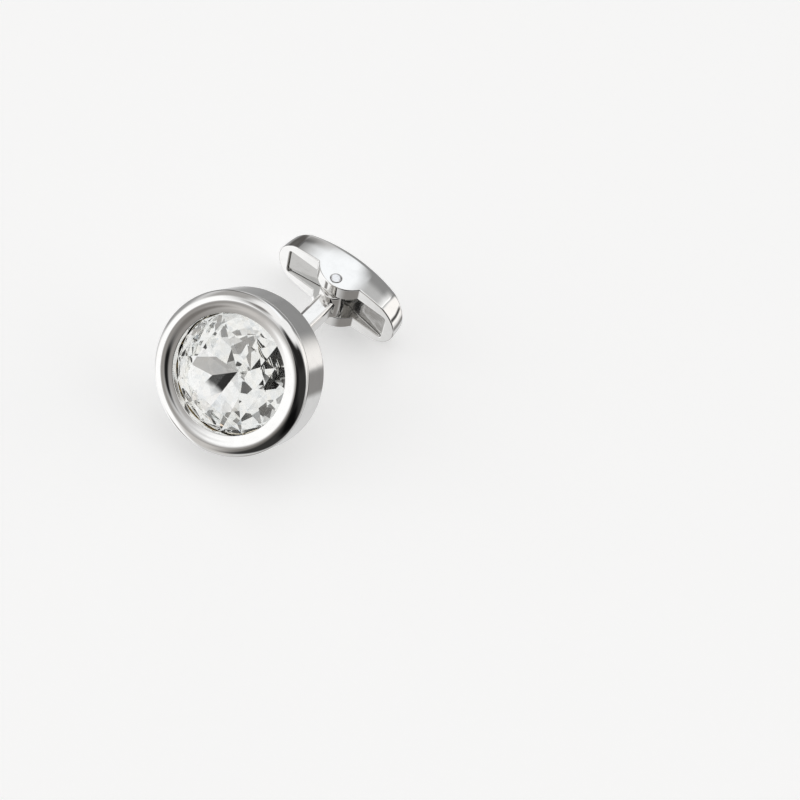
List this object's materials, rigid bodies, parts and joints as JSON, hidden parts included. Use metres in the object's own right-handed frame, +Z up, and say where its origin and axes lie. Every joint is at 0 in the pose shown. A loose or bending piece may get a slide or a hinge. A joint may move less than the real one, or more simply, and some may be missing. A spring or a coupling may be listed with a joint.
{
  "type": "cufflink",
  "caption": "Cufflink with a round rolled-edge head, a clear faceted crystal, a curved post and a hinged hollow bar with round ends that folds nearly in line with the post.",
  "frame": {"origin": "centre of the bounding box in X and Y, on the surface that the cufflink lies on", "axes": "+Z up; the head's face looks toward -Y and up, the post leads to the bar on the +Y side, and the bar's length lies along X"},
  "size_m": [0.0165, 0.0268, 0.0152],
  "materials": {
    "polished_steel": "mirror-polished rhodium-coloured plate",
    "crystal": "clear cut crystal",
    "foil": "bright pale foil, a little crumpled",
    "post_steel": "polished post, satin back plate",
    "pin_steel": "flush polished rivet",
    "spring_steel": "bright rolled spring strip"
  },
  "bodies": {
    "head": {"head_case": "polished_steel", "crystal": "crystal", "foil_cup": "foil", "plate_and_post": "post_steel"},
    "toggle": {"toggle_bar": "polished_steel", "leaf_spring": "spring_steel", "hinge_pin": "pin_steel"}
  },
  "joints": [
    {"name": "toggle_hinge", "type": "hinge", "parent": "head", "child": "toggle", "pos_m": [0, 0.00954, 0.00354], "axis": [0, 0, 1], "range_deg": [-84, 84]}
  ]
}
